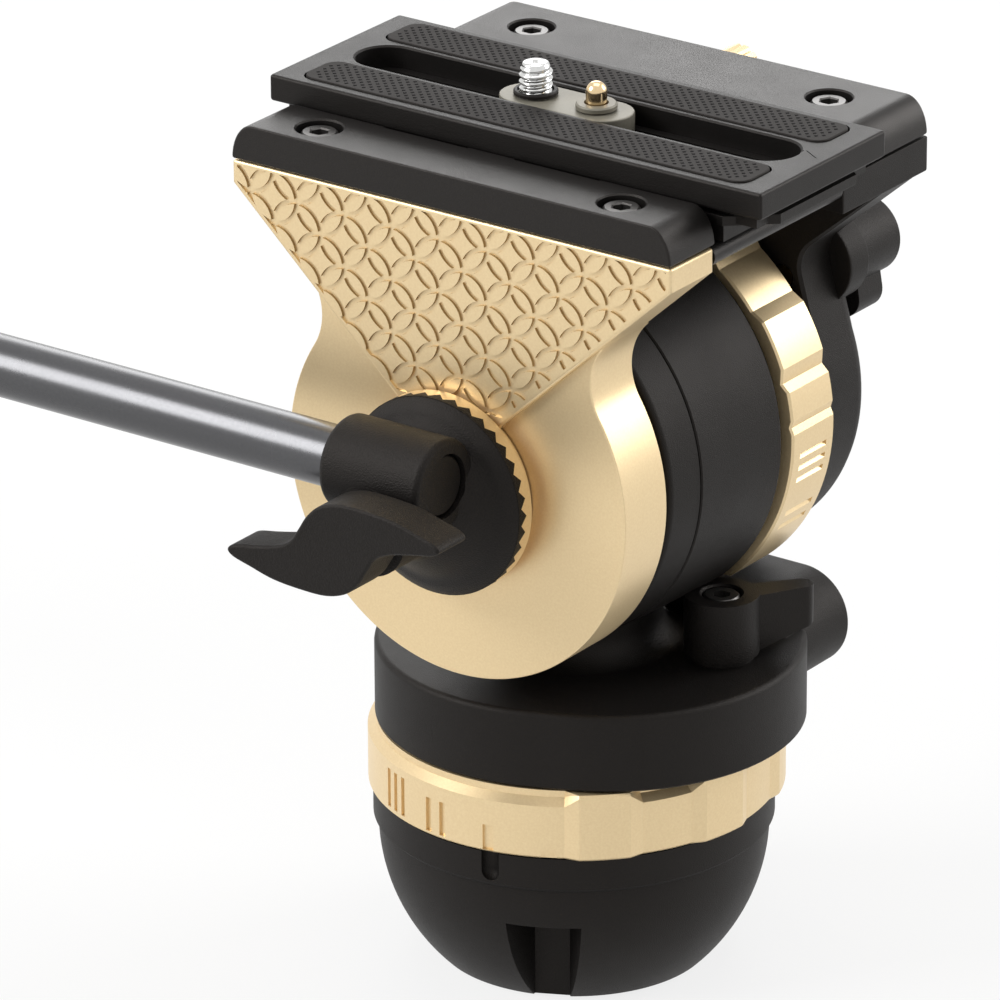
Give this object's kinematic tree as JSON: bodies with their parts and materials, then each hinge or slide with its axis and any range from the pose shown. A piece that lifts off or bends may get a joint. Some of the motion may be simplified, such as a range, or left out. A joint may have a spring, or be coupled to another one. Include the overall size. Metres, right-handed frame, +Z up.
{
  "type": "fluid video head",
  "caption": "Fluid-damped pan and tilt video head on a half-ball base, with a sliding camera plate, gold drag rings, lock levers and a clamped pan handle.",
  "frame": {"origin": "centre of the flat under the half ball, at the mouth of the tripod thread", "axes": "+X forward towards the lens, -Y towards the handle side, +Z up along the pan axis"},
  "size_m": [0.3807, 0.1328, 0.1795],
  "materials": {
    "black_cast": "fine sand-textured black paint on cast aluminium",
    "black_plate": "black anodised, fine blasted",
    "black_moulded": "black moulded plastic with a fine grain",
    "gold_metal": "satin champagne gold anodised",
    "bright_steel": "bright plated steel",
    "inner_steel": "turned steel",
    "dark_screws": "black oxide",
    "champagne": "satin champagne anodised",
    "black_rubber": "moulded rubber with small dimples",
    "inner_brass": "turned brass",
    "level_fluid": "clear vial with yellow-green fluid",
    "dark_tube": "dark anodised, polished"
  },
  "bodies": {
    "base": {"ball_base": "black_cast", "thread_insert": "inner_steel", "base_screw_1": "dark_screws", "base_screw_2": "dark_screws", "base_screw_3": "dark_screws", "pan_spindle": "inner_steel", "spindle_nut": "inner_steel", "pan_damper_case": "inner_steel", "pan_damper_stator": "inner_steel", "pan_seal": "black_rubber"},
    "pan_ring": {"pan_drag_ring": "gold_metal"},
    "pan": {"pan_body": "black_cast", "pan_damper_rotor": "inner_brass", "pan_bearing_lower": "inner_steel", "pan_bearing_upper": "inner_steel", "pan_brake_pad": "inner_brass", "level_bezel": "black_moulded", "level_vial": "level_fluid", "drum_cover": "black_cast", "tilt_bearing_near": "inner_steel", "tilt_bearing_far": "inner_steel", "tilt_damper_stator": "inner_steel", "counterbalance_spring": "inner_steel"},
    "pan_lock": {"pan_lock_lever": "black_moulded", "pan_lock_screw": "dark_screws"},
    "tilt_ring": {"tilt_drag_ring": "gold_metal"},
    "tilt": {"tilt_shaft": "inner_steel", "tilt_damper_rotor": "inner_brass", "counterbalance_hub": "inner_steel", "near_bracket": "gold_metal", "rosette_boss": "gold_metal", "far_arm": "black_cast", "tilt_brake_pad": "inner_brass", "platform_bed": "black_plate", "near_rail": "black_plate", "far_rail": "black_plate", "gib_bar": "inner_brass", "rail_screw_1": "dark_screws", "rail_screw_2": "dark_screws", "rail_screw_3": "dark_screws", "rail_screw_4": "dark_screws"},
    "tilt_lock": {"tilt_lock_knob": "black_moulded"},
    "plate_lock": {"plate_lock_knob": "gold_metal"},
    "plate": {"sliding_plate": "black_plate", "near_pad": "black_rubber", "far_pad": "black_rubber"},
    "carrier": {"screw_carrier": "champagne", "screw_washer": "black_moulded", "pin_bushing": "champagne"},
    "camera_screw": {"camera_screw": "bright_steel"},
    "locating_pin": {"locating_pin": "champagne"},
    "clamp": {"handle_clamp": "black_moulded"},
    "wing": {"wing_knob": "black_moulded"},
    "handle": {"handle_tube": "dark_tube", "tube_plug": "black_moulded", "handle_grip": "black_rubber", "grip_cap": "black_moulded"}
  },
  "joints": [
    {"name": "pan_turn", "type": "hinge", "parent": "base", "child": "pan", "pos_m": [0, 0, 0.05], "axis": [0, 0, 1], "continuous": true},
    {"name": "pan_drag_select", "type": "hinge", "parent": "base", "child": "pan_ring", "pos_m": [0, 0, 0.0415], "axis": [0, 0, 1], "range_deg": [-17.3, 34.6]},
    {"name": "pan_lock_turn", "type": "hinge", "parent": "pan", "child": "pan_lock", "pos_m": [0.0292, 0.007, 0.07], "axis": [0, 0, 1], "range_deg": [-75, 0]},
    {"name": "tilt_drag_select", "type": "hinge", "parent": "pan", "child": "tilt_ring", "pos_m": [0, 0.0214, 0.10745], "axis": [0, 1, 0], "range_deg": [-17.3, 34.6]},
    {"name": "tilt_turn", "type": "hinge", "parent": "pan", "child": "tilt", "pos_m": [0, 0, 0.10745], "axis": [0, 1, 0], "range_deg": [-70, 80]},
    {"name": "tilt_lock_turn", "type": "hinge", "parent": "tilt", "child": "tilt_lock", "pos_m": [0.0269, 0.05, 0.133], "axis": [0, 1, 0], "range_deg": [-75, 0]},
    {"name": "plate_lock_turn", "type": "hinge", "parent": "tilt", "child": "plate_lock", "pos_m": [0.0035, 0.05, 0.1641], "axis": [0, 1, 0], "range_deg": [-120, 30]},
    {"name": "plate_slide", "type": "slide", "parent": "tilt", "child": "plate", "axis": [1, 0, 0], "range_m": [-0.03, 0.022]},
    {"name": "carrier_slide", "type": "slide", "parent": "plate", "child": "carrier", "axis": [1, 0, 0], "range_m": [-0.0322, 0.0362]},
    {"name": "camera_screw_turn", "type": "hinge", "parent": "carrier", "child": "camera_screw", "pos_m": [-0.0052, -0.00455, 0.17], "axis": [0, 0, 1], "continuous": true},
    {"name": "pin_press", "type": "slide", "parent": "carrier", "child": "locating_pin", "axis": [0, 0, -1], "range_m": [0, 0.0045], "stiffness_N_per_m": 200, "springref_m": -0.002},
    {"name": "handle_pitch", "type": "hinge", "parent": "tilt", "child": "clamp", "pos_m": [0, -0.045, 0.10745], "axis": [0, 1, 0], "continuous": true},
    {"name": "wing_turn", "type": "hinge", "parent": "clamp", "child": "wing", "pos_m": [0, -0.07, 0.10745], "axis": [0, 1, 0], "continuous": true},
    {"name": "handle_slide", "type": "slide", "parent": "clamp", "child": "handle", "axis": [1, 0, 0], "range_m": [-0.01, 0.045]}
  ]
}
